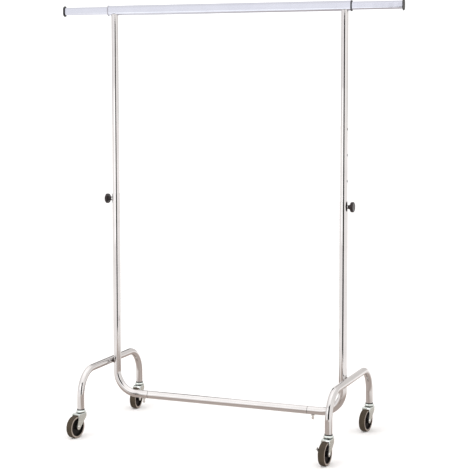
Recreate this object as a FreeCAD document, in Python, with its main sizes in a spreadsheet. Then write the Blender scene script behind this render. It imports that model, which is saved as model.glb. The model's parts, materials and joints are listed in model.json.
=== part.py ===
import FreeCAD, Part
import math
import os
import Sketcher

# Rolling clothes rack, in millimetres.
# X runs along the hanging rail, Y across it (the rack's front is -Y), Z is up.
# The origin is on the floor, midway between the two uprights.

DIMENSIONS = [
    # the uprights and the bent lower tubes
    ("upright_half", 447, "half the distance between the uprights' axes"),
    ("upper_od", 25.4, "outer diameter of the upper tubes"),
    ("lower_od", 28.6, "outer diameter of the lower tubes and the cross tube"),
    ("tube_wall", 1.2, "wall of every round tube"),
    ("lower_top", 868, "height of the lower tubes' open ends"),
    ("upper_bottom", 520, "height of the upper tubes' lower ends"),
    ("saddle_depth", 5, "how far the upper tubes reach up round the rail's underside"),
    ("bar_height", 113, "height of the cross tube's axis"),
    ("bar_half", 316, "half the cross tube's full-diameter length"),
    ("bar_spigot", 45, "length of the cross tube's reduced ends"),
    ("seam_gap", 1.5, "gap left at each cross tube seam"),
    ("bend_radius", 82, "centre-line radius of the lower tubes' bends"),
    # the height setting
    ("knob_height", 850, "height of the clamp knobs"),
    ("hole_pitch", 91, "pitch of the height-setting holes"),
    ("hole_radius", 4.2, "radius of the height-setting holes"),
    ("holes_below", 2, "height-setting holes below the knob"),
    ("hole_count", 6, "height-setting holes in one upper tube"),
    # the U-shaped legs
    ("leg_od", 25.4, "outer diameter of the legs"),
    ("leg_half", 242, "half the distance between a leg's two ends"),
    ("leg_height", 235, "height of a leg's level stretch"),
    ("leg_bend", 90, "centre-line radius of the legs' bends"),
    ("leg_bottom", 100, "height of the legs' open ends"),
    ("weld_outer", 9.5, "outer radius of the weld between leg and lower tube"),
    ("weld_inner", 4, "radius left bare inside that weld"),
    ("plug_length", 30, "length of the plugs in the leg ends"),
    # the hanging rail and its end rails
    ("rail_height", 1551, "height of the rail's axis"),
    ("rail_tall", 36, "height of the rail's flat-oval section"),
    ("rail_deep", 22, "width of the rail's flat-oval section"),
    ("rail_wall", 1.5, "wall of the rail"),
    ("rail_half", 470, "half the rail's length"),
    ("ext_tall", 29, "height of the end rails' section"),
    ("ext_deep", 15, "width of the end rails' section"),
    ("ext_wall", 1.2, "wall of the end rails"),
    ("ext_inner", 290, "distance of an end rail's hidden end from the middle"),
    ("ext_outer", 655, "distance of an end rail's visible end from the middle"),
    ("cap_tall", 40, "height of the end caps"),
    ("cap_deep", 26, "width of the end caps"),
    ("cap_thick", 4, "thickness of the end caps' flange"),
    ("cap_round", 1.5, "rounding of the end caps' edge"),
    ("insert_depth", 14, "depth of the plastic plugs inside the end rails"),
    ("guide_length", 6, "length of the guide collar on an end rail's hidden end"),
    ("bush_depth", 25, "depth of the bushes in the rail's ends"),
    ("bush_flange", 3, "thickness of the bushes' flanges"),
    ("bush_lip", 1.3, "how far the bushes' flanges stand out from the rail"),
    ("slide_gap", 0.3, "clearance of everything that slides"),
    # the clamp knobs
    ("screw_radius", 4, "radius of the knobs' screws"),
    ("knob_radius", 18.2, "radius of the knobs' heads"),
    ("head_length", 11, "length of the knobs' heads"),
    ("neck_length", 10, "length of the knobs' necks"),
    ("neck_tip", 7, "radius of the necks' tips"),
    ("neck_root", 9.5, "radius of the necks at the head"),
    ("head_round", 3, "rounding of the heads' rims"),
    ("lobe_count", 7, "hollows round a knob's rim"),
    ("lobe_radius", 7, "radius of those hollows"),
    ("lobe_offset", 23.2, "distance of the hollows' centres from the axis"),
    ("knob_gap_left", 5, "gap between the left knob's neck and its tube"),
    ("knob_gap_right", 2, "gap between the right knob's neck and its tube"),
    # the thumb screws under the cross tube's seams
    ("thumb_position", 336, "distance of the thumb screws from the middle"),
    ("thumb_radius", 3, "radius of the thumb screws' threads"),
    ("thumb_collar", 6, "radius of their collars"),
    ("collar_height", 4, "height of their collars"),
    ("thumb_neck", 3.2, "radius of their necks"),
    ("neck_height", 3.5, "height of their necks"),
    ("wing_width", 10.5, "width of their wings"),
    ("wing_height", 10, "height of their wings"),
    ("wing_thick", 3.2, "thickness of their wings"),
    # the casters
    ("wheel_radius", 40, "radius of the wheels"),
    ("wheel_half", 12, "half the tyres' width"),
    ("hub_radius", 33, "radius at which tyre and hub meet"),
    ("tyre_bevel", 2, "bevel of the tyres' sides next to the hub"),
    ("tyre_round", 4, "rounding of the tyres' shoulders"),
    ("rim_step", 1, "how far the hubs' rims lie inside the tyres' sides"),
    ("rim_wall", 3, "thickness of the hubs' rims"),
    ("web_half", 4, "half the thickness of the hubs' webs"),
    ("boss_radius", 10, "radius of the hubs' bosses"),
    ("boss_half", 13.4, "half the hubs' length along the axle"),
    ("trail", 32, "distance of the axle behind the swivel axis"),
    ("fork_half", 16.5, "half the forks' outer width"),
    ("fork_sheet", 2.5, "thickness of the forks' sheet"),
    ("crown_top", 87, "height of the forks' upper face"),
    ("crown_front", 29, "reach of the forks' crowns over the wheel"),
    ("crown_back", 17, "reach of the forks' crowns on the other side"),
    ("crown_round", 7.5, "rounding of the crowns' rear corners"),
    ("fork_eye", 9, "radius of the forks' lower ends"),
    ("stem_radius", 5, "radius of the caster stems"),
    ("stem_top", 127, "height of the caster stems' upper ends"),
    ("cup_radius", 17.3, "radius of the swivel cups"),
    ("cup_top", 96, "height of the swivel cups' upper faces"),
    ("cup_lift", 2.6, "height of the cups' lower edge above the crowns"),
    ("cup_shoulder", 3.2, "height of the cups' upright sides"),
    ("bearing_radius", 12.5, "radius of the bearing ring under the cups"),
    ("collar_radius", 14, "radius of the leg plugs' collars"),
    ("axle_radius", 4, "radius of the axle bolts"),
    ("axle_gap", 0.08, "running clearance of axles, stems and screws"),
    ("bolt_head", 6.3, "radius of the axle bolts' heads"),
    ("bolt_socket", 2.6, "radius of the round sockets in those heads"),
    ("socket_depth", 1.6, "depth of the sockets"),
    ("nut_radius", 7.5, "radius of the axle nuts across their corners"),
    ("nut_length", 5, "length of the axle nuts"),
    ("lever_sheet", 2, "thickness of the brake lever"),
    ("lever_reach", 43, "reach of the brake lever from the axle"),
    ("lever_width", 10, "width of the brake lever"),
    ("lever_tab", 9, "length of the brake lever's turned-out tab"),
    ("lever_turn", 141, "angle of the brake lever, in degrees from +Y"),
    ("turn_lf", 10, "swivel angle of the left front caster, in degrees"),
    ("turn_rf", 3, "swivel angle of the right front caster"),
    ("turn_lr", -3, "swivel angle of the left rear caster"),
    ("turn_rr", 6.5, "swivel angle of the right rear caster"),
]

doc = FreeCAD.newDocument("ClothesRack")
sheet = doc.addObject("Spreadsheet::Sheet", "dims")
subparts = []


class Size:
    """A number together with the spreadsheet formula that gives it."""

    def __init__(self, value, formula):
        self.value = float(value)
        self.formula = formula

    def combine(self, other, sign, value):
        text = other.formula if isinstance(other, Size) else str(other)
        return Size(value, "(%s %s %s)" % (self.formula, sign, text))

    def __add__(self, other):
        return self.combine(other, "+", self.value + number(other))

    def __sub__(self, other):
        return self.combine(other, "-", self.value - number(other))

    def __mul__(self, other):
        return self.combine(other, "*", self.value * number(other))

    def __truediv__(self, other):
        return self.combine(other, "/", self.value / number(other))

    def __neg__(self):
        return Size(-self.value, "(0 - %s)" % self.formula)


def number(item):
    """The plain number of a Size or of a number."""
    return item.value if isinstance(item, Size) else float(item)


class Dimensions:
    """Every spreadsheet alias as a Size."""

    def __init__(self):
        for row, (alias, value, meaning) in enumerate(DIMENSIONS, start=1):
            sheet.set("A%d" % row, meaning)
            sheet.set("B%d" % row, str(value))
            sheet.setAlias("B%d" % row, alias)
            setattr(self, alias, Size(value, "dims." + alias))


d = Dimensions()
doc.recompute()

ZERO = Size(0, "0")


# ---------------------------------------------------------------- sketches

def new_body(label):
    """An empty body that becomes one sub-part."""
    body = doc.addObject("PartDesign::Body", label)
    body.Label = label
    subparts.append(body)
    return body


def new_sketch(body, role, along_x=ZERO, along_y=ZERO, lift=ZERO, turn=ZERO):
    """A sketch on one of the body's own origin planes, moved and turned within that plane's axes."""
    sketch = body.newObject("Sketcher::SketchObject", body.Label + "_sketch")
    plane = [item for item in body.Origin.OriginFeatures if item.Role == role][0]
    sketch.AttachmentSupport = [(plane, "")]
    sketch.MapMode = "FlatFace"
    sketch.AttachmentOffset = FreeCAD.Placement(
        FreeCAD.Vector(along_x.value, along_y.value, lift.value),
        FreeCAD.Rotation(FreeCAD.Vector(0, 0, 1), turn.value))
    for axis, size in (("x", along_x), ("y", along_y), ("z", lift)):
        sketch.setExpression(".AttachmentOffset.Base." + axis, size.formula)
    if turn is not ZERO:
        sketch.setExpression(".AttachmentOffset.Rotation.Angle", turn.formula)
    return sketch


def constrain(sketch, *terms):
    """Add a constraint; a Size as its last term is bound to the spreadsheet."""
    size = terms[-1]
    if isinstance(size, Size):
        index = sketch.addConstraint(Sketcher.Constraint(*terms[:-1], size.value))
        sketch.setExpression("Constraints[%d]" % index, size.formula)
    else:
        sketch.addConstraint(Sketcher.Constraint(*terms))


def pin_point(sketch, geometry, position, x, y):
    """Fix one point of a sketch at x, y from the sketch's origin."""
    constrain(sketch, "DistanceX", -1, 1, geometry, position, x)
    constrain(sketch, "DistanceY", -1, 1, geometry, position, y)


def vector(x, y):
    return FreeCAD.Vector(number(x), number(y), 0)


def angle_of(direction):
    """Angle of a direction from the sketch's horizontal axis."""
    return math.atan2(direction.y, direction.x)


def draw_circle(sketch, x, y, radius):
    """A circle at x, y."""
    geometry = sketch.addGeometry(Part.Circle(vector(x, y), FreeCAD.Vector(0, 0, 1), radius.value))
    pin_point(sketch, geometry, 3, x, y)
    constrain(sketch, "Radius", geometry, radius)


def draw_polygon(sketch, points):
    """A closed outline of straight lines through the points."""
    first = None
    for index, (x, y) in enumerate(points):
        next_x, next_y = points[(index + 1) % len(points)]
        line = sketch.addGeometry(Part.LineSegment(vector(x, y), vector(next_x, next_y)))
        first = line if first is None else first
        pin_point(sketch, line, 1, x, y)
        if index:
            constrain(sketch, "Coincident", line - 1, 2, line, 1)
    constrain(sketch, "Coincident", line, 2, first, 1)


def draw_flat_oval(sketch, tall, deep):
    """A flat-sided oval round the sketch's origin, with half-round ends above and below."""
    radius = deep / 2
    half = (tall - deep) / 2
    up = FreeCAD.Vector(0, half.value, 0)
    normal = FreeCAD.Vector(0, 0, 1)
    right = sketch.addGeometry(Part.LineSegment(vector(radius, -half), vector(radius, half)))
    top = sketch.addGeometry(Part.ArcOfCircle(Part.Circle(up, normal, radius.value), 0, math.pi))
    left = sketch.addGeometry(Part.LineSegment(vector(-radius, half), vector(-radius, -half)))
    lower = Part.Circle(-up, normal, radius.value)
    bottom = sketch.addGeometry(Part.ArcOfCircle(lower, math.pi, 2 * math.pi))
    for before, after in ((right, top), (top, left), (left, bottom), (bottom, right)):
        constrain(sketch, "Tangent", before, 2, after, 1)
    constrain(sketch, "Radius", top, radius)
    pin_point(sketch, top, 3, ZERO, half)
    pin_point(sketch, bottom, 3, ZERO, -half)


def draw_round_path(sketch, corners, radius):
    """An open run of level and upright lines through the corners, each corner rounded by a tangent arc."""
    lines = []
    for (x, y), (next_x, next_y) in zip(corners, corners[1:]):
        start = vector(x, y)
        end = vector(next_x, next_y)
        along = (end - start).normalize() * radius.value
        if lines:
            start = start + along
        if (next_x, next_y) != corners[-1]:
            end = end - along
        lines.append(sketch.addGeometry(Part.LineSegment(start, end)))
        level = abs(along.y) < abs(along.x)
        constrain(sketch, "Horizontal" if level else "Vertical", lines[-1])
    for before, after, (x, y) in zip(lines, lines[1:], corners[1:-1]):
        corner = vector(x, y)
        start = sketch.Geometry[before].EndPoint
        end = sketch.Geometry[after].StartPoint
        centre = start + end - corner
        # a sketch's arcs run counter-clockwise, so on a right-hand turn the arc is drawn from its end
        right_hand = (corner - start).cross(end - corner).z < 0
        first, last = (end, start) if right_hand else (start, end)
        first_angle = angle_of(first - centre)
        last_angle = first_angle + math.pi / 2
        circle = Part.Circle(centre, FreeCAD.Vector(0, 0, 1), radius.value)
        arc = sketch.addGeometry(Part.ArcOfCircle(circle, first_angle, last_angle))
        constrain(sketch, "Tangent", before, 2, arc, 2 if right_hand else 1)
        constrain(sketch, "Tangent", after, 1, arc, 1 if right_hand else 2)
        constrain(sketch, "Radius", arc, radius)
        if (x, y) != corners[-2]:
            constrain(sketch, "DistanceY", -1, 1, after, 1, y)
    pin_point(sketch, lines[0], 1, *corners[0])
    pin_point(sketch, lines[-1], 2, *corners[-1])


# ---------------------------------------------------------------- features

def extrude(body, sketch, length, kind="Pad", both_ways=False, backwards=False):
    """Pad or pocket a sketch, to one side or evenly to both."""
    volume = body.Shape.Volume if body.Tip else 0
    feature = body.newObject("PartDesign::" + kind, body.Label + "_" + kind.lower())
    feature.Profile = sketch
    feature.Length = length.value
    feature.setExpression("Length", length.formula)
    feature.SideType = "Symmetric" if both_ways else "One side"
    feature.Reversed = backwards
    body.Tip = feature
    doc.recompute()
    if kind == "Pocket" and body.Shape.Volume >= volume:
        raise RuntimeError(body.Label + ": a pocket cuts nothing")
    return feature


def revolve(body, sketch, axis):
    """Turn a sketch fully round its own horizontal (H_Axis) or vertical (V_Axis) axis."""
    feature = body.newObject("PartDesign::Revolution", body.Label + "_revolution")
    feature.Profile = sketch
    feature.ReferenceAxis = (sketch, [axis])
    feature.Angle = 360
    body.Tip = feature
    doc.recompute()
    return feature


def repeat(body, feature, kind, axis_role, count, spacing=None):
    """Repeat a feature along, or all the way round, one of the body's origin axes."""
    axis = [item for item in body.Origin.OriginFeatures if item.Role == axis_role][0]
    pattern = body.newObject("PartDesign::" + kind, body.Label + "_pattern")
    pattern.Originals = [feature]
    if kind == "LinearPattern":
        pattern.Direction = (axis, [""])
        pattern.Mode = "Spacing"
        pattern.setExpression("Offset", spacing.formula)
    else:
        pattern.Axis = (axis, [""])
        pattern.Angle = 360
    pattern.Occurrences = int(count.value)
    pattern.setExpression("Occurrences", count.formula)
    body.Tip = pattern
    doc.recompute()


def round_edges(body, radius, chosen):
    """Fillet the edges of the body's last feature that the test picks."""
    base = body.Tip
    names = ["Edge%d" % (index + 1) for index, edge in enumerate(base.Shape.Edges) if chosen(edge)]
    feature = body.newObject("PartDesign::Fillet", body.Label + "_fillet")
    feature.Base = (base, names)
    feature.Radius = radius.value
    feature.setExpression("Radius", radius.formula)
    body.Tip = feature
    doc.recompute()


def turn_profile(body, role, points, axis, **offsets):
    """Revolve an outline that is drawn on one side of the axis."""
    sketch = new_sketch(body, role, **offsets)
    draw_polygon(sketch, points)
    revolve(body, sketch, axis)


def bend_tube(body, role, corners, radius, outer):
    """Sweep a round tube from the body's origin along a path with rounded corners."""
    path = new_sketch(body, role)
    draw_round_path(path, corners, radius)
    section = new_sketch(body, "XY_Plane")
    draw_circle(section, ZERO, ZERO, outer / 2)
    draw_circle(section, ZERO, ZERO, outer / 2 - d.tube_wall)
    doc.recompute()
    pipe = body.newObject("PartDesign::AdditivePipe", body.Label + "_pipe")
    pipe.Profile = section
    pipe.Spine = (path, ["Edge%d" % (index + 1) for index in range(len(path.Shape.Edges))])
    body.Tip = pipe
    doc.recompute()


def place(item, x, y, z, turn=ZERO):
    """Put a sub-part at x, y, z, turned about Z by an angle in degrees."""
    item.Placement = FreeCAD.Placement(
        FreeCAD.Vector(number(x), number(y), number(z)),
        FreeCAD.Rotation(FreeCAD.Vector(0, 0, 1), turn.value))
    for axis, size in (("x", x), ("y", y), ("z", z)):
        item.setExpression(".Placement.Base." + axis, size.formula)
    if turn is not ZERO:
        item.setExpression(".Placement.Rotation.Angle", turn.formula)


HALF_TURN = Size(180, "180")
SIDES = (("left", -1, HALF_TURN), ("right", 1, ZERO))


# ---------------------------------------------------------------- base frame

def make_lower_tube(side, sign, turn):
    """Outer tube of an upright: it bends inwards at the bottom and ends at the cross tube's seam."""
    body = new_body("lower_tube_" + side)
    drop = d.bar_height - d.lower_top
    reach = d.bar_half + d.seam_gap - d.upright_half
    bend_tube(body, "XZ_Plane", [(ZERO, ZERO), (ZERO, drop), (reach, drop)], d.bend_radius, d.lower_od)
    hole = new_sketch(body, "YZ_Plane")
    draw_circle(hole, ZERO, d.knob_height - d.lower_top, d.screw_radius + d.axle_gap)
    extrude(body, hole, d.lower_od, kind="Pocket", backwards=True)
    hole = new_sketch(body, "XY_Plane", lift=drop)
    draw_circle(hole, d.thumb_position - d.upright_half, ZERO, d.thumb_radius + d.axle_gap)
    extrude(body, hole, d.lower_od, kind="Pocket")
    place(body, d.upright_half * sign, ZERO, d.lower_top, turn)


def make_cross_tube():
    """Cross tube: full diameter between the seams, reduced ends that plug into the lower tubes."""
    body = new_body("cross_tube")
    shoulder = d.bar_half
    end = d.bar_half + d.bar_spigot
    outer = d.lower_od / 2
    spigot = outer - d.tube_wall
    bore = spigot - d.tube_wall
    turn_profile(body, "XY_Plane", [
        (-end, bore), (-end, spigot), (-shoulder, spigot), (-shoulder, outer),
        (shoulder, outer), (shoulder, spigot), (end, spigot), (end, bore)], "H_Axis")
    place(body, ZERO, ZERO, d.bar_height)


def leg_x(sign):
    """Signed distance of a leg's plane from the middle: leg and lower tube touch."""
    return (d.upright_half + (d.lower_od + d.leg_od) / 2) * sign


def make_leg(side, sign):
    """U-shaped leg, open ends down, a caster at each end."""
    body = new_body("leg_" + side)
    rise = d.leg_height - d.leg_bottom
    far = d.leg_half * 2
    bend_tube(body, "YZ_Plane", [(ZERO, ZERO), (ZERO, rise), (far, rise), (far, ZERO)],
              d.leg_bend, d.leg_od)
    place(body, leg_x(sign), -d.leg_half, d.leg_bottom)


def bound_cylinder(name, radius, length, axis, x, y, z):
    """A Part cylinder bound to the spreadsheet, lying along the given axis."""
    cylinder = doc.addObject("Part::Cylinder", name)
    cylinder.setExpression("Radius", radius.formula)
    cylinder.setExpression("Height", length.formula)
    cylinder.Placement = FreeCAD.Placement(
        FreeCAD.Vector(0, 0, 0), FreeCAD.Rotation(FreeCAD.Vector(0, 0, 1), axis))
    for name_of_axis, size in (("x", x), ("y", y), ("z", z)):
        cylinder.setExpression(".Placement.Base." + name_of_axis, size.formula)
    return cylinder


def cut_all(label, base, tools):
    """Cut the tools one after another from a Part solid; the last cut is the sub-part."""
    for index, tool in enumerate(tools):
        cut = doc.addObject("Part::Cut", "%s_cut_%d" % (label, index))
        cut.Base = base
        cut.Tool = tool
        base = cut
    base.Label = label
    subparts.append(base)
    return base


def make_leg_weld(side, sign, turn):
    """Ring of weld round the spot where the leg touches the lower tube."""
    label = "leg_weld_" + side
    along_x = FreeCAD.Vector(1, 0, 0)
    along_y = FreeCAD.Vector(0, 1, 0)
    gap = (d.lower_od + d.leg_od) / 2
    reach = d.lower_od * 2
    bead = bound_cylinder(label + "_bead", d.weld_outer, gap, along_x, ZERO, ZERO, ZERO)
    core = bound_cylinder(label + "_core", d.weld_inner, gap, along_x, ZERO, ZERO, ZERO)
    upright = bound_cylinder(label + "_upright", d.lower_od / 2, reach, FreeCAD.Vector(0, 0, 1),
                             ZERO, ZERO, -reach / 2)
    leg = bound_cylinder(label + "_leg", d.leg_od / 2, reach, along_y, gap, -reach / 2, ZERO)
    weld = cut_all(label, bead, [core, upright, leg])
    place(weld, d.upright_half * sign, ZERO, d.leg_height, turn)


def make_thumb_screw(side, sign):
    """Thumb screw that clamps a cross tube end from below."""
    body = new_body("thumb_screw_" + side)
    tip = -(d.lower_od / 2 - d.tube_wall) - d.slide_gap
    collar_top = -(d.lower_od / 2) - d.slide_gap
    collar_bottom = collar_top - d.collar_height
    wing_top = collar_bottom - d.neck_height
    wing_middle = wing_top - d.wing_height / 2
    wing_bottom = wing_top - d.wing_height
    half = d.wing_width / 2
    turn_profile(body, "XZ_Plane", [
        (ZERO, tip), (d.thumb_radius, tip), (d.thumb_radius, collar_top), (d.thumb_collar, collar_top),
        (d.thumb_collar, collar_bottom), (d.thumb_neck, collar_bottom), (d.thumb_neck, wing_top),
        (ZERO, wing_top)], "V_Axis")
    wing = new_sketch(body, "XZ_Plane")
    draw_polygon(wing, [
        (-d.thumb_neck, collar_bottom), (d.thumb_neck, collar_bottom), (d.thumb_neck, wing_top),
        (half, wing_middle), (d.thumb_neck, wing_bottom), (-d.thumb_neck, wing_bottom),
        (-half, wing_middle), (-d.thumb_neck, wing_top)])
    extrude(body, wing, d.wing_thick, both_ways=True)
    place(body, d.thumb_position * sign, ZERO, d.bar_height)


# ---------------------------------------------------------------- upper frame

def make_upper_tube(side, sign, turn):
    """Inner tube of an upright, with its height-setting holes and a saddle cut for the rail."""
    body = new_body("upper_tube_" + side)
    length = d.rail_height - d.rail_tall / 2 + d.saddle_depth - d.upper_bottom
    section = new_sketch(body, "XY_Plane")
    draw_circle(section, ZERO, ZERO, d.upper_od / 2)
    draw_circle(section, ZERO, ZERO, d.upper_od / 2 - d.tube_wall)
    extrude(body, section, length)
    saddle = new_sketch(body, "YZ_Plane", along_y=d.rail_height - d.upper_bottom)
    draw_flat_oval(saddle, d.rail_tall, d.rail_deep)
    extrude(body, saddle, d.upper_od * 2, kind="Pocket", both_ways=True)
    hole = new_sketch(body, "YZ_Plane")
    lowest = d.knob_height - d.upper_bottom - d.holes_below * d.hole_pitch
    draw_circle(hole, ZERO, lowest, d.hole_radius)
    pocket = extrude(body, hole, d.upper_od, kind="Pocket", backwards=True)
    repeat(body, pocket, "LinearPattern", "Z_Axis", d.hole_count, d.hole_pitch)
    place(body, d.upright_half * sign, ZERO, d.upper_bottom, turn)


def make_guide_foot(side, sign):
    """Plastic foot in the lower end of an upper tube, a sliding fit in the lower tube."""
    body = new_body("guide_foot_" + side)
    flange = d.lower_od / 2 - d.tube_wall - d.slide_gap
    inside = d.upper_od / 2 - d.tube_wall
    bore = inside - d.tube_wall * 2
    turn_profile(body, "XZ_Plane", [
        (bore, -d.guide_length), (flange, -d.guide_length), (flange, ZERO), (inside, ZERO),
        (inside, d.insert_depth), (bore, d.insert_depth)], "V_Axis")
    place(body, d.upright_half * sign, ZERO, d.upper_bottom)


def pad_oval(body, start, length, outer, inner=None):
    """Pad a flat oval, whole or hollow, along X from start; sizes are (tall, deep)."""
    sketch = new_sketch(body, "YZ_Plane", lift=start)
    draw_flat_oval(sketch, *outer)
    if inner:
        draw_flat_oval(sketch, *inner)
    return extrude(body, sketch, length)


def shrunk(size, margin):
    """A flat oval's (tall, deep), smaller by a margin all round."""
    return (size[0] - margin * 2, size[1] - margin * 2)


RAIL = (d.rail_tall, d.rail_deep)
RAIL_BORE = shrunk(RAIL, d.rail_wall)
END_RAIL = (d.ext_tall, d.ext_deep)
END_RAIL_BORE = shrunk(END_RAIL, d.ext_wall)


def make_rail():
    """Flat-oval hanging rail, open right through so that the end rails slide inside it."""
    body = new_body("main_rail")
    pad_oval(body, -d.rail_half, d.rail_half * 2, RAIL, RAIL_BORE)
    place(body, ZERO, ZERO, d.rail_height)


def make_rail_bush(side, turn):
    """Plastic bush in a rail end, with a flange that covers the rail's cut edge."""
    body = new_body("rail_bush_" + side)
    bore = shrunk(END_RAIL, -d.slide_gap)
    pad_oval(body, d.rail_half - d.bush_depth, d.bush_depth, RAIL_BORE, bore)
    pad_oval(body, d.rail_half, d.bush_flange, shrunk(RAIL, -d.bush_lip), bore)
    place(body, ZERO, ZERO, d.rail_height, turn)


def make_end_rail(side, turn):
    """Telescoping end rail."""
    body = new_body("end_rail_" + side)
    pad_oval(body, d.ext_inner, d.ext_outer - d.ext_inner, END_RAIL, END_RAIL_BORE)
    place(body, ZERO, ZERO, d.rail_height, turn)


def make_rail_guide(side, turn):
    """Plastic plug on an end rail's hidden end: it guides the end rail and stops it at the bush."""
    body = new_body("rail_guide_" + side)
    pad_oval(body, d.ext_inner - d.guide_length, d.guide_length, shrunk(RAIL_BORE, d.slide_gap))
    pad_oval(body, d.ext_inner, d.insert_depth, END_RAIL_BORE)
    place(body, ZERO, ZERO, d.rail_height, turn)


def make_end_cap(side, turn):
    """End cap with a flange that stands out all round the end rail."""
    body = new_body("end_cap_" + side)
    pad_oval(body, d.ext_outer - d.insert_depth, d.insert_depth, END_RAIL_BORE)
    pad_oval(body, d.ext_outer, d.cap_thick, (d.cap_tall, d.cap_deep))
    face = (d.ext_outer + d.cap_thick).value
    round_edges(body, d.cap_round, lambda edge: abs(edge.BoundBox.XMin - face) < d.slide_gap.value)
    place(body, ZERO, ZERO, d.rail_height, turn)


# ---------------------------------------------------------------- clamp knobs

def knob_start(gap):
    """Distance of a knob's neck tip from the upright's axis."""
    return d.lower_od / 2 + gap


def make_knob(side, sign, turn, gap):
    """Lobed plastic head with a tapered neck."""
    body = new_body("knob_" + side)
    tip = knob_start(gap)
    root = tip + d.neck_length
    face = root + d.head_length
    bottom = face - d.head_round
    turn_profile(body, "XY_Plane", [
        (tip, d.screw_radius), (tip, d.neck_tip), (root, d.neck_root), (root, d.knob_radius),
        (face, d.knob_radius), (face, ZERO), (bottom, ZERO), (bottom, d.screw_radius)], "H_Axis")
    margin = d.slide_gap.value
    rim = d.knob_radius.value - margin
    round_edges(body, d.head_round, lambda edge: (
        edge.BoundBox.ZMax > rim and edge.BoundBox.XLength < margin))
    hollow = new_sketch(body, "YZ_Plane")
    draw_circle(hollow, d.lobe_offset, ZERO, d.lobe_radius)
    pocket = extrude(body, hollow, face * 2, kind="Pocket", backwards=True)
    repeat(body, pocket, "PolarPattern", "X_Axis", d.lobe_count)
    place(body, d.upright_half * sign, ZERO, d.knob_height, turn)


def make_knob_screw(side, sign, turn, gap):
    """Screw moulded into the knob; its tip ends in the lower tube's wall."""
    body = new_body("knob_screw_" + side)
    tip = d.lower_od / 2 - d.tube_wall
    end = knob_start(gap) + d.neck_length + d.head_length - d.head_round
    turn_profile(body, "XY_Plane", [
        (tip, ZERO), (tip, d.screw_radius), (end, d.screw_radius), (end, ZERO)], "H_Axis")
    place(body, d.upright_half * sign, ZERO, d.knob_height, turn)


# ---------------------------------------------------------------- casters
# Each caster piece is drawn round its swivel axis with the floor at zero height:
# the axle lies along X and the wheel trails towards -Y. Its placement turns it.

def place_at_leg(item, caster):
    x_sign, y_sign, turn = caster
    place(item, leg_x(x_sign), d.leg_half * y_sign, ZERO, -turn)


def make_leg_plug(name, caster):
    """Plastic plug in a leg end that holds the caster stem, with a collar under the leg's cut edge."""
    body = new_body("leg_plug_" + name)
    radius = d.leg_od / 2 - d.tube_wall
    top = d.leg_bottom + d.plug_length
    turn_profile(body, "XZ_Plane", [
        (d.stem_radius, d.cup_top), (d.collar_radius, d.cup_top), (d.collar_radius, d.leg_bottom),
        (radius, d.leg_bottom), (radius, top), (d.stem_radius, top)], "V_Axis")
    place_at_leg(body, caster)


def make_stem(name, caster):
    """Caster stem with the riveted head that carries the fork."""
    body = new_body("caster_stem_" + name)
    head_radius = d.stem_radius + d.fork_sheet
    head_top = d.crown_top - d.fork_sheet - d.slide_gap
    head_bottom = head_top - d.fork_sheet
    turn_profile(body, "XZ_Plane", [
        (ZERO, head_bottom), (head_radius, head_bottom), (head_radius, head_top),
        (d.stem_radius, head_top), (d.stem_radius, d.stem_top), (ZERO, d.stem_top)], "V_Axis")
    place_at_leg(body, caster)


def make_cup(name, caster):
    """Pressed cup that covers the swivel bearing, fixed to the stem."""
    body = new_body("swivel_cup_" + name)
    bottom = d.crown_top + d.slide_gap
    edge = d.crown_top + d.cup_lift
    shoulder = edge + d.cup_shoulder
    turn_profile(body, "XZ_Plane", [
        (d.stem_radius, bottom), (d.bearing_radius, bottom), (d.bearing_radius, edge),
        (d.cup_radius, edge), (d.cup_radius, shoulder), (d.collar_radius, d.cup_top),
        (d.stem_radius, d.cup_top)], "V_Axis")
    place_at_leg(body, caster)


def draw_fork_side(sketch):
    """Side of a fork: a level crown that tapers down to a round eye at the axle."""
    top = d.crown_top
    heel = top - d.fork_eye
    eye = vector(-d.trail, d.wheel_radius)
    radius = d.fork_eye.value
    front_top = vector(-d.crown_front, top)
    back_top = vector(d.crown_back, top)
    back_heel = vector(d.crown_back, heel)
    front_touch = eye + FreeCAD.Vector(-radius, 0, 0)
    back_touch = eye + FreeCAD.Vector(radius, -radius, 0).normalize() * radius
    bottom = eye + FreeCAD.Vector(0, -radius, 0)
    crown = sketch.addGeometry(Part.LineSegment(back_top, front_top))
    front = sketch.addGeometry(Part.LineSegment(front_top, front_touch))
    arc = sketch.addGeometry(Part.Arc(front_touch, bottom, back_touch))
    back = sketch.addGeometry(Part.LineSegment(back_touch, back_heel))
    end = sketch.addGeometry(Part.LineSegment(back_heel, back_top))
    pin_point(sketch, crown, 1, d.crown_back, top)
    pin_point(sketch, front, 1, -d.crown_front, top)
    pin_point(sketch, end, 1, d.crown_back, heel)
    pin_point(sketch, arc, 3, -d.trail, d.wheel_radius)
    constrain(sketch, "Radius", arc, d.fork_eye)
    constrain(sketch, "Coincident", crown, 2, front, 1)
    constrain(sketch, "Tangent", front, 2, arc, 1)
    constrain(sketch, "Tangent", arc, 2, back, 1)
    constrain(sketch, "Coincident", back, 2, end, 1)
    constrain(sketch, "Coincident", end, 2, crown, 1)


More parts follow.
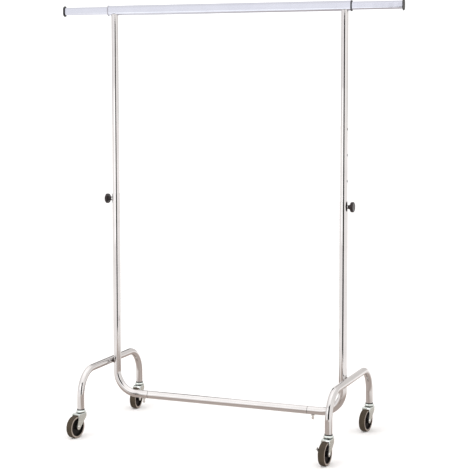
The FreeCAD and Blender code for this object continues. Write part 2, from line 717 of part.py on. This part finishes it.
def make_fork(name, caster):
    """Pressed fork: a crown over the wheel and two tapering sides."""
    body = new_body("fork_" + name)
    side = new_sketch(body, "YZ_Plane")
    draw_fork_side(side)
    extrude(body, side, d.fork_half * 2, both_ways=True)
    top = d.crown_top.value
    outer = d.fork_half.value
    margin = d.slide_gap.value
    round_edges(body, d.crown_round, lambda edge: (
        abs(abs(edge.CenterOfMass.x) - outer) < margin and edge.BoundBox.YLength < margin
        and edge.CenterOfMass.y > 0))
    round_edges(body, d.fork_sheet, lambda edge: (
        edge.BoundBox.ZLength < margin and abs(edge.CenterOfMass.z - top) < margin
        and edge.CenterOfMass.y > -d.crown_front.value + margin))
    inside = new_sketch(body, "YZ_Plane")
    floor = ZERO
    ceiling = d.crown_top - d.fork_sheet
    reach = d.wheel_radius * 2
    draw_polygon(inside, [(-reach, floor), (reach, floor), (reach, ceiling), (-reach, ceiling)])
    extrude(body, inside, (d.fork_half - d.fork_sheet) * 2, kind="Pocket", both_ways=True)
    swivel = new_sketch(body, "XY_Plane")
    draw_circle(swivel, ZERO, ZERO, d.stem_radius + d.axle_gap)
    extrude(body, swivel, d.crown_top * 2, kind="Pocket", backwards=True)
    axle = new_sketch(body, "YZ_Plane")
    draw_circle(axle, -d.trail, d.wheel_radius, d.axle_radius)
    extrude(body, axle, (d.fork_half + d.fork_sheet) * 2, kind="Pocket", both_ways=True)
    place_at_leg(body, caster)


def at_axle():
    """Where a sketch on the XY plane goes so that its own horizontal axis is the axle."""
    return {"along_y": -d.trail, "lift": d.wheel_radius}


def make_tyre(name, caster):
    """Rubber tyre with rounded shoulders."""
    body = new_body("tyre_" + name)
    seat = d.wheel_half - d.rim_step
    beside_hub = d.hub_radius + d.tyre_bevel
    turn_profile(body, "XY_Plane", [
        (-seat, d.hub_radius), (seat, d.hub_radius), (d.wheel_half, beside_hub),
        (d.wheel_half, d.wheel_radius), (-d.wheel_half, d.wheel_radius),
        (-d.wheel_half, beside_hub)], "H_Axis", **at_axle())
    margin = d.slide_gap.value
    tread = d.wheel_radius.value * 2 - margin
    round_edges(body, d.tyre_round, lambda edge: (
        edge.BoundBox.ZLength > tread and edge.BoundBox.XLength < margin))
    place_at_leg(body, caster)


def make_hub(name, caster):
    """Plastic hub: rim, thin web and long boss."""
    body = new_body("hub_" + name)
    rim_half = d.wheel_half - d.rim_step
    rim_inner = d.hub_radius - d.rim_wall
    bore = d.axle_radius + d.axle_gap
    turn_profile(body, "XY_Plane", [
        (-d.boss_half, bore), (d.boss_half, bore), (d.boss_half, d.boss_radius),
        (d.web_half, d.boss_radius), (d.web_half, rim_inner), (rim_half, rim_inner),
        (rim_half, d.hub_radius), (-rim_half, d.hub_radius), (-rim_half, rim_inner),
        (-d.web_half, rim_inner), (-d.web_half, d.boss_radius), (-d.boss_half, d.boss_radius)],
        "H_Axis", **at_axle())
    place_at_leg(body, caster)


def nut_start(braked):
    """Distance of the axle nut's inner face from the wheel's middle."""
    if braked:
        return d.fork_half + d.lever_sheet + d.slide_gap * 2
    return d.fork_half


def make_axle_bolt(name, caster, braked):
    """Axle bolt with a low, hollowed round head on the rack's right-hand side."""
    body = new_body("axle_bolt_" + name)
    head = d.fork_half + d.fork_sheet
    floor = head - d.socket_depth
    end = -nut_start(braked) - d.nut_length
    turn_profile(body, "XY_Plane", [
        (end, ZERO), (end, d.axle_radius), (d.fork_half, d.axle_radius),
        (d.fork_half, d.bolt_head), (head, d.axle_radius), (head, d.bolt_socket),
        (floor, d.bolt_socket), (floor, ZERO)], "H_Axis", **at_axle())
    place_at_leg(body, caster)


def make_axle_nut(name, caster, braked):
    """Hexagon nut on the axle bolt."""
    label = "axle_nut_" + name
    start = -nut_start(braked) - d.nut_length
    prism = doc.addObject("Part::Prism", label + "_prism")
    prism.Polygon = 6
    prism.setExpression("Circumradius", d.nut_radius.formula)
    prism.setExpression("Height", d.nut_length.formula)
    prism.Placement = FreeCAD.Placement(
        FreeCAD.Vector(0, 0, 0), FreeCAD.Rotation(FreeCAD.Vector(0, 0, 1), FreeCAD.Vector(1, 0, 0)))
    for axis, size in (("x", start), ("y", -d.trail), ("z", d.wheel_radius)):
        prism.setExpression(".Placement.Base." + axis, size.formula)
    bore = bound_cylinder(label + "_bore", d.axle_radius, d.nut_length, FreeCAD.Vector(1, 0, 0),
                          start, -d.trail, d.wheel_radius)
    nut = cut_all(label, prism, [bore])
    place_at_leg(nut, caster)


def make_brake_lever(name, caster):
    """Brake lever on the axle: an eye, an arm past the tyre's edge and a turned-out tab."""
    body = new_body("brake_lever_" + name)
    inner_face = -d.fork_half - d.slide_gap
    frame = {"along_x": -d.trail, "along_y": d.wheel_radius, "lift": inner_face, "turn": d.lever_turn}
    half = d.lever_width / 2
    eye = new_sketch(body, "YZ_Plane", **frame)
    draw_circle(eye, ZERO, ZERO, d.fork_eye)
    extrude(body, eye, d.lever_sheet, backwards=True)
    arm = new_sketch(body, "YZ_Plane", **frame)
    draw_polygon(arm, [(ZERO, -half), (d.lever_reach, -half), (d.lever_reach, half), (ZERO, half)])
    extrude(body, arm, d.lever_sheet, backwards=True)
    tab = new_sketch(body, "YZ_Plane", **frame)
    tab_start = d.lever_reach - d.lever_sheet
    draw_polygon(tab, [(tab_start, -half), (d.lever_reach, -half), (d.lever_reach, half),
                       (tab_start, half)])
    extrude(body, tab, d.lever_tab, backwards=True)
    hole = new_sketch(body, "YZ_Plane", **frame)
    draw_circle(hole, ZERO, ZERO, d.axle_radius + d.axle_gap)
    extrude(body, hole, d.lever_sheet * 2, kind="Pocket", both_ways=False)
    place_at_leg(body, caster)


# ---------------------------------------------------------------- the rack

KNOB_GAPS = {"left": d.knob_gap_left, "right": d.knob_gap_right}
CASTERS = {
    "lf": (-1, -1, d.turn_lf),
    "rf": (1, -1, d.turn_rf),
    "lr": (-1, 1, d.turn_lr),
    "rr": (1, 1, d.turn_rr),
}
BRAKED_CASTER = "rf"

make_cross_tube()
make_rail()
for side, sign, turn in SIDES:
    make_lower_tube(side, sign, turn)
    make_leg(side, sign)
    make_leg_weld(side, sign, turn)
    make_thumb_screw(side, sign)
    make_upper_tube(side, sign, turn)
    make_guide_foot(side, sign)
    make_rail_bush(side, turn)
    make_end_rail(side, turn)
    make_rail_guide(side, turn)
    make_end_cap(side, turn)
    make_knob(side, sign, turn, KNOB_GAPS[side])
    make_knob_screw(side, sign, turn, KNOB_GAPS[side])

for name, caster in CASTERS.items():
    braked = name == BRAKED_CASTER
    make_leg_plug(name, caster)
    make_stem(name, caster)
    make_cup(name, caster)
    make_fork(name, caster)
    make_tyre(name, caster)
    make_hub(name, caster)
    make_axle_bolt(name, caster, braked)
    make_axle_nut(name, caster, braked)
    if braked:
        make_brake_lever(name, caster)

doc.recompute()
for item in doc.Objects:
    if "Invalid" in item.State or "Error" in item.State:
        raise RuntimeError(item.Label + " failed to recompute")
for item in subparts:
    if item.Shape.isNull() or not item.Shape.isValid() or not item.Shape.Solids:
        raise RuntimeError(item.Label + " has no valid solid")

os.makedirs("parts", exist_ok=True)
for item in subparts:
    item.Shape.exportStep("parts/%s.step" % item.Label)
    box = item.Shape.BoundBox
    print("%-20s solids %d  volume %.0f  x %.1f..%.1f  y %.1f..%.1f  z %.1f..%.1f" % (
        item.Label, len(item.Shape.Solids), item.Shape.Volume,
        box.XMin, box.XMax, box.YMin, box.YMax, box.ZMin, box.ZMax))
print("sub-parts:", len(subparts))
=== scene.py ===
import json
import math

import bpy
from mathutils import Euler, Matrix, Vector


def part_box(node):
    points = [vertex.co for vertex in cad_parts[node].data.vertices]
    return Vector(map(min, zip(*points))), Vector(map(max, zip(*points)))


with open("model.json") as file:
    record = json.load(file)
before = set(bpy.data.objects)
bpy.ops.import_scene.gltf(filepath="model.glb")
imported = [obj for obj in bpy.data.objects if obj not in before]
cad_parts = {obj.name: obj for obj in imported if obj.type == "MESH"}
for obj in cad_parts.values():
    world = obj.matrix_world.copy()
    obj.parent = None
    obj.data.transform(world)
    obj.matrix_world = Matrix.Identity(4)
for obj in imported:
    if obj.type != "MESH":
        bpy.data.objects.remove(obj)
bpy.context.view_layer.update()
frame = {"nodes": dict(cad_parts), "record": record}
NODES = frame["nodes"]
RECORD = frame["record"]
SLOT_OF = {part["node"]: part["material_slot"] for part in RECORD["subparts"]}
scene = bpy.context.scene


# ---------------------------------------------------------------- node helpers

def new_material(name):
    """A material that is one Principled shader so far; returns it, its node tree and the shader."""
    material = bpy.data.materials.new(name)
    material.use_nodes = True
    tree = material.node_tree
    tree.nodes.clear()
    shader = tree.nodes.new("ShaderNodeBsdfPrincipled")
    output = tree.nodes.new("ShaderNodeOutputMaterial")
    tree.links.new(shader.outputs[0], output.inputs[0])
    return material, tree, shader


def add_noise(tree, scale, detail=4.0, stretch=(1, 1, 1), roughness=0.5):
    """Noise in object coordinates, stretched along the axes; returns its factor output."""
    coords = tree.nodes.new("ShaderNodeTexCoord")
    mapping = tree.nodes.new("ShaderNodeMapping")
    mapping.inputs["Scale"].default_value = stretch
    noise = tree.nodes.new("ShaderNodeTexNoise")
    noise.inputs["Scale"].default_value = scale
    noise.inputs["Detail"].default_value = detail
    noise.inputs["Roughness"].default_value = roughness
    tree.links.new(coords.outputs["Object"], mapping.inputs["Vector"])
    tree.links.new(mapping.outputs[0], noise.inputs["Vector"])
    return noise.outputs[0]


def add_range(tree, factor, low, high, start=0.35, end=0.65):
    """Map a factor from start..end to low..high."""
    spread = tree.nodes.new("ShaderNodeMapRange")
    spread.inputs["From Min"].default_value = start
    spread.inputs["From Max"].default_value = end
    spread.inputs["To Min"].default_value = low
    spread.inputs["To Max"].default_value = high
    tree.links.new(factor, spread.inputs["Value"])
    return spread.outputs[0]


def add_ramp(tree, factor, stops):
    """Colour ramp over a factor; stops are (position, colour)."""
    ramp = tree.nodes.new("ShaderNodeValToRGB")
    elements = ramp.color_ramp.elements
    while len(elements) < len(stops):
        elements.new(0.5)
    for element, (position, colour) in zip(elements, stops):
        element.position = position
        element.color = (*colour, 1)
    tree.links.new(factor, ramp.inputs[0])
    return ramp.outputs[0]


def add_bump(tree, shader, height, strength, distance):
    """Bump the shader's normal by a height."""
    bump = tree.nodes.new("ShaderNodeBump")
    bump.inputs["Strength"].default_value = strength
    bump.inputs["Distance"].default_value = distance
    tree.links.new(height, bump.inputs["Height"])
    tree.links.new(bump.outputs[0], shader.inputs["Normal"])


# ---------------------------------------------------------------- materials

def chrome(name, light, dark, rough):
    """Polished chrome plating with faint smears and a slight unevenness."""
    material, tree, shader = new_material(name)
    shader.inputs["Metallic"].default_value = 1
    smear = add_noise(tree, scale=9, detail=6, roughness=0.6)
    tree.links.new(add_ramp(tree, smear, [(0.35, dark), (0.65, light)]), shader.inputs["Base Color"])
    haze = add_noise(tree, scale=40, detail=5, stretch=(1, 1, 0.4))
    tree.links.new(add_range(tree, haze, low=rough * 0.6, high=rough * 1.5), shader.inputs["Roughness"])
    ripple = add_noise(tree, scale=160, detail=2)
    add_bump(tree, shader, ripple, strength=0.02, distance=0.0004)
    return material


def zinc(name, light, dark, rough, metal=1.0):
    """Bright zinc plating: mottled, slightly grained; a lower metal value gives a duller, whiter coat."""
    material, tree, shader = new_material(name)
    shader.inputs["Metallic"].default_value = metal
    mottle = add_noise(tree, scale=120, detail=6, roughness=0.65)
    tree.links.new(add_ramp(tree, mottle, [(0.3, dark), (0.7, light)]), shader.inputs["Base Color"])
    grain = add_noise(tree, scale=500, detail=3, stretch=(1, 1, 6))
    tree.links.new(add_range(tree, grain, low=rough * 0.7, high=rough * 1.3), shader.inputs["Roughness"])
    add_bump(tree, shader, grain, strength=0.08, distance=0.0003)
    return material


def plastic(name, light, dark, rough, grain_scale=900, grain=0.12, gloss=0.5):
    """Moulded plastic with a fine grain and slightly uneven gloss."""
    material, tree, shader = new_material(name)
    shader.inputs["Specular IOR Level"].default_value = gloss
    cloud = add_noise(tree, scale=60, detail=5)
    tree.links.new(add_ramp(tree, cloud, [(0.3, dark), (0.7, light)]), shader.inputs["Base Color"])
    tree.links.new(add_range(tree, cloud, low=rough * 0.8, high=rough * 1.2), shader.inputs["Roughness"])
    texture = add_noise(tree, scale=grain_scale, detail=2)
    add_bump(tree, shader, texture, strength=grain, distance=0.0003)
    return material


# each surface: how it is made, its lighter and darker colour, its roughness, and what else sets it apart
SURFACES = {
    "chrome_tube": (chrome, (0.61, 0.595, 0.59), (0.56, 0.545, 0.54), 0.07, {}),
    "chrome_rail": (chrome, (0.575, 0.59, 0.655), (0.54, 0.555, 0.62), 0.12, {}),
    # weld beads are real, but their near-black tone is painted shade where the tubes meet
    "weld_bead": (chrome, (0.16, 0.14, 0.13), (0.08, 0.07, 0.065), 0.5, {}),
    "zinc_sheet": (zinc, (0.74, 0.79, 0.76), (0.6, 0.65, 0.63), 0.3, {}),
    "zinc_screw": (zinc, (0.84, 0.84, 0.82), (0.72, 0.72, 0.71), 0.3, {}),
    "zinc_dull": (zinc, (0.78, 0.78, 0.76), (0.66, 0.66, 0.65), 0.55, {"metal": 0.3}),
    # painted shade: near-black for the gap under the swivel cups and the seams of the cross tube
    "painted_recess_shade": (plastic, (0.06, 0.055, 0.05), (0.03, 0.028, 0.025), 0.4, {}),
    "black_plastic": (plastic, (0.022, 0.021, 0.022), (0.012, 0.012, 0.012), 0.42, {}),
    "grey_plastic": (plastic, (0.36, 0.35, 0.39), (0.28, 0.27, 0.31), 0.42, {}),
    "knob_plastic": (plastic, (0.018, 0.011, 0.011), (0.009, 0.006, 0.006), 0.35, {"gloss": 0.3}),
    "hub_plastic": (plastic, (0.011, 0.008, 0.007), (0.005, 0.004, 0.004), 0.6, {"gloss": 0.25}),
    "tyre_rubber": (plastic, (0.066, 0.05, 0.034), (0.042, 0.032, 0.021), 0.68,
                    {"grain_scale": 700, "grain": 0.2, "gloss": 0.15}),
    # painted light: a lighter rubber on the tyre sides, standing in for the light that falls on them
    "tyre_side_painted_light": (plastic, (0.36, 0.3, 0.26), (0.28, 0.235, 0.2), 0.6, {"grain_scale": 700, "grain": 0.2}),
}
MATERIALS = {name: make(name, light, dark, rough, **extras)
             for name, (make, light, dark, rough, extras) in SURFACES.items()}

for name, node in NODES.items():
    node.data.materials.clear()
    node.data.materials.append(MATERIALS[SLOT_OF[name]])
    for face in node.data.polygons:
        face.material_index = 0

NODES["brake_lever_rf"].data.materials[0] = MATERIALS["zinc_dull"]

AXLES = {joint["child"]: joint for joint in RECORD["behaviour"]["joints"]}


def paint_faces(name, surface, chosen):
    """Give the faces of a node that the test picks out another surface."""
    mesh = NODES[name].data
    mesh.materials.append(MATERIALS[surface])
    for face in mesh.polygons:
        if chosen(face):
            face.material_index = 1


def paint_tyre_sides(name, caster):
    """Paint the flat sides of a tyre, next to the hub, in the lighter rubber: painted light, where the lamps
    fall on the sides.
    """
    side_cosine = 0.86
    axle = Vector(AXLES["wheel_" + caster]["axis"])
    paint_faces(name, "tyre_side_painted_light", lambda face: abs(face.normal.dot(axle)) > side_cosine)


def paint_bearing_shade(name):
    """Paint shade on the bearing ring and the underside of a swivel cup: a near-black painted shade in the
    gap where the cup meets the fork crown.
    """
    ring_share, upright, underside = 0.8, 0.5, -0.9
    low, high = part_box(name)
    middle = (low + high) / 2
    rim = (high.x - low.x) / 2

    def in_painted_shade(face):
        out = face.center - middle
        in_ring = out.xy.length < rim * ring_share and abs(face.normal.z) < upright
        return in_ring or face.normal.z < underside

    paint_faces(name, "painted_recess_shade", in_painted_shade)


def paint_spigots(name):
    """Paint shade on the reduced ends and the inside of the cross tube, which show only in the seams:
    painted shade in those gaps.
    """
    spigot_share = 0.97
    low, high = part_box(name)
    middle = (low + high) / 2
    radius = (high.z - low.z) / 2
    paint_faces(name, "painted_recess_shade",
                lambda face: (face.center - middle).yz.length < radius * spigot_share)


paint_spigots("cross_tube")
for name in NODES:
    if name.startswith("tyre_"):
        paint_tyre_sides(name, name.removeprefix("tyre_"))
    if name.startswith("swivel_cup_"):
        paint_bearing_shade(name)

# ---------------------------------------------------------------- stage

# round the rack from the rear (0) by the left side (0.25), the front (0.5) and the right side (0.75)
WORLD_STOPS = [
    (0.0, (0.88, 0.85, 0.83)),
    (0.2, (1.05, 1.02, 1.01)),
    (0.36, (1.25, 1.23, 1.24)),
    (0.52, (1.45, 1.43, 1.43)),
    (0.66, (1.4, 1.37, 1.35)),
    (0.78, (1.25, 1.22, 1.2)),
    (1.0, (0.88, 0.85, 0.83)),
]
CEILING = (1.2, 1.18, 1.17, 1)
# the upward direction's share at which the walls start to give way to the ceiling, and have given way
CEILING_STARTS, CEILING_FULL = 0.25, 0.85
# painted reflection: the glowing tone that the chrome mirrors of the floor, from under the rack (0) to two
# patch widths away (1)
PAINTED_REFLECTION_STOPS = [
    (0.0, (0.78, 0.7, 0.66)),
    (0.4, (0.62, 0.53, 0.48)),
    (0.6, (1.2, 1.15, 1.12)),
    (1.0, (1.36, 1.33, 1.32)),
]
# the darker warm patches of that painted reflection: centre and reach along X and Y
UNDER_RACK = (0.05, 0.15), (0.85, 0.72)
BEFORE_RACK = (0.25, -0.8), (0.5, 0.65)
# the backdrop that the camera sees
WHITE = (1.25, 1.25, 1.25, 1)
FLOOR_HALF = 30
LENS_MM = 104.385
SENSOR_MM = 36
SHIFT = -0.1
CLIP_END = 200
CAMERA_PLACE = (1.8835, -4.5587, 1.307)
# degrees about X (90 is level), Y and Z
CAMERA_TURN = (90 - 4.681, 0.039, 22.07)


def wide_plane(name):
    """A wide plane at floor level with a plain matt paint; returns it, its node tree and its shader."""
    half = FLOOR_HALF
    corners = [(-half, -half, 0), (half, -half, 0), (half, half, 0), (-half, half, 0)]
    mesh = bpy.data.meshes.new(name)
    mesh.from_pydata(corners, [], [(0, 1, 2, 3)])
    plane = bpy.data.objects.new(name, mesh)
    scene.collection.objects.link(plane)
    material, tree, shader = new_material(name + "_paint")
    shader.inputs["Roughness"].default_value = 0.8
    mesh.materials.append(material)
    return plane, tree, shader


def add_patch(tree, centre, reach):
    """Distance from a point on the floor in units of the patch's reach along X and Y."""
    coords = tree.nodes.new("ShaderNodeTexCoord")
    mapping = tree.nodes.new("ShaderNodeMapping")
    mapping.inputs["Location"].default_value = (-centre[0] / reach[0], -centre[1] / reach[1], 0)
    mapping.inputs["Scale"].default_value = (1 / reach[0], 1 / reach[1], 0)
    length = tree.nodes.new("ShaderNodeVectorMath")
    length.operation = "LENGTH"
    tree.links.new(coords.outputs["Object"], mapping.inputs["Vector"])
    tree.links.new(mapping.outputs[0], length.inputs[0])
    return length.outputs["Value"]


def pale_floor():
    """The pale floor, and a glowing copy of it that only the chrome mirrors, a painted reflection: warm grey
    under the rack, white beyond.
    """
    floor, tree, shader = wide_plane("floor")
    cloud = add_noise(tree, scale=0.6, detail=3)
    tree.links.new(add_ramp(tree, cloud, [(0.3, (0.91, 0.91, 0.91)), (0.7, (0.94, 0.94, 0.94))]),
                   shader.inputs["Base Color"])
    floor.visible_glossy = False
    mirrored, tree, shader = wide_plane("floor_painted_reflection")
    nearest = tree.nodes.new("ShaderNodeMath")
    nearest.operation = "MINIMUM"
    tree.links.new(add_patch(tree, *UNDER_RACK), nearest.inputs[0])
    tree.links.new(add_patch(tree, *BEFORE_RACK), nearest.inputs[1])
    scaled = add_range(tree, nearest.outputs[0], 0, 1, start=0, end=2)
    # painted reflection: the copy glows in these tones rather than being lit
    tree.links.new(add_ramp(tree, scaled, PAINTED_REFLECTION_STOPS), shader.inputs["Emission Color"])
    shader.inputs["Emission Strength"].default_value = 1
    shader.inputs["Base Color"].default_value = (0, 0, 0, 1)
    shader.inputs["Specular IOR Level"].default_value = 0
    mirrored.visible_camera = False
    mirrored.visible_diffuse = False
    mirrored.visible_shadow = False
    return floor, mirrored


def studio_world():
    """Soft white light all round: a brighter cool side at the front left and a warmer, dimmer rear."""
    world = bpy.data.worlds.new("studio")
    world.use_nodes = True
    tree = world.node_tree
    tree.nodes.clear()
    output = tree.nodes.new("ShaderNodeOutputWorld")
    background = tree.nodes.new("ShaderNodeBackground")
    coords = tree.nodes.new("ShaderNodeTexCoord")
    split = tree.nodes.new("ShaderNodeSeparateXYZ")
    tree.links.new(coords.outputs["Generated"], split.inputs[0])
    turn = tree.nodes.new("ShaderNodeMath")
    turn.operation = "ARCTAN2"
    tree.links.new(split.outputs["X"], turn.inputs[0])
    flip = tree.nodes.new("ShaderNodeMath")
    flip.operation = "MULTIPLY"
    flip.inputs[1].default_value = -1
    tree.links.new(split.outputs["Y"], flip.inputs[0])
    tree.links.new(flip.outputs[0], turn.inputs[1])
    # the angle round the rack, from -pi to pi with the front at zero, becomes 0 to 1
    around = add_range(tree, turn.outputs[0], 0, 1, start=-math.pi, end=math.pi)
    walls = add_ramp(tree, around, WORLD_STOPS)
    overhead = add_range(tree, split.outputs["Z"], 0, 1, start=CEILING_STARTS, end=CEILING_FULL)
    blend = tree.nodes.new("ShaderNodeMix")
    blend.data_type = "RGBA"
    blend.inputs["B"].default_value = CEILING
    tree.links.new(overhead, blend.inputs["Factor"])
    tree.links.new(walls, blend.inputs["A"])
    tree.links.new(blend.outputs["Result"], background.inputs["Color"])
    backdrop = tree.nodes.new("ShaderNodeBackground")
    backdrop.inputs["Color"].default_value = WHITE
    rays = tree.nodes.new("ShaderNodeLightPath")
    choose = tree.nodes.new("ShaderNodeMixShader")
    tree.links.new(rays.outputs["Is Camera Ray"], choose.inputs[0])
    tree.links.new(background.outputs[0], choose.inputs[1])
    tree.links.new(backdrop.outputs[0], choose.inputs[2])
    tree.links.new(choose.outputs[0], output.inputs[0])
    scene.world = world


def reflected_panel(name, place, width, height, shade, glow=0.0):
    """An upright panel that only the chrome sees, turned to face the rack: dark cloth, or a lit softbox."""
    half = width / 2
    corners = [(-half, 0, 0), (half, 0, 0), (half, 0, height), (-half, 0, height)]
    mesh = bpy.data.meshes.new(name)
    mesh.from_pydata(corners, [], [(0, 1, 2, 3)])
    panel = bpy.data.objects.new(name, mesh)
    panel.location = place
    panel.rotation_euler = (0, 0, math.atan2(place[1], place[0]) + math.pi / 2)
    scene.collection.objects.link(panel)
    material, _, shader = new_material(name + "_cloth")
    shader.inputs["Base Color"].default_value = (shade, shade, shade, 1)
    shader.inputs["Roughness"].default_value = 0.9
    shader.inputs["Specular IOR Level"].default_value = 0
    shader.inputs["Emission Color"].default_value = (1, 1, 1, 1)
    shader.inputs["Emission Strength"].default_value = glow
    mesh.materials.append(material)
    panel.visible_camera = False
    panel.visible_diffuse = False
    panel.visible_shadow = False
    return panel


def soft_light(name, place, target, size, power, spread=180, mirrored=False):
    """A square area light aimed at a point, which the chrome either mirrors or doesn't."""
    data = bpy.data.lights.new(name, "AREA")
    data.size = size
    data.energy = power
    data.spread = math.radians(spread)
    light = bpy.data.objects.new(name, data)
    light.location = place
    light.rotation_euler = (Vector(target) - Vector(place)).to_track_quat("-Z", "Y").to_euler()
    light.visible_glossy = mirrored
    light.visible_diffuse = not mirrored
    light.visible_camera = False
    scene.collection.objects.link(light)
    return light


def studio_camera():
    """The camera, seen from the rack: to the front right and a little below the rail."""
    data = bpy.data.cameras.new("camera")
    data.lens = LENS_MM
    data.sensor_width = SENSOR_MM
    data.shift_y = SHIFT
    data.clip_end = CLIP_END
    camera = bpy.data.objects.new("camera", data)
    camera.location = CAMERA_PLACE
    camera.rotation_euler = Euler([math.radians(turn) for turn in CAMERA_TURN])
    scene.collection.objects.link(camera)
    scene.camera = camera


floor, floor_painted_reflection = pale_floor()
key = soft_light("key_light", (-1.5, -4, 4.5), (0, 0, 0.8), size=5.0, power=98)
overhead = soft_light("overhead", (-0.25, -0.25, 1.25), (-0.25, -0.25, 0), size=2.2, power=3.9,
                      spread=120, mirrored=True)
flag_front = reflected_panel("flag_front", (0.66, -1.5, 0.0), width=1.1, height=1.6, shade=0.02)
flag_rear = reflected_panel("flag_rear", (-1.3, 2.2, 0.0), width=0.5, height=2.4, shade=0.03)
softbox = reflected_panel("softbox", (-0.6, -1.5, 0.5), width=1.4, height=0.75, shade=0.02, glow=1.75)
studio_world()
studio_camera()
scene.view_settings.view_transform = "Standard"
scene.view_settings.look = "None"
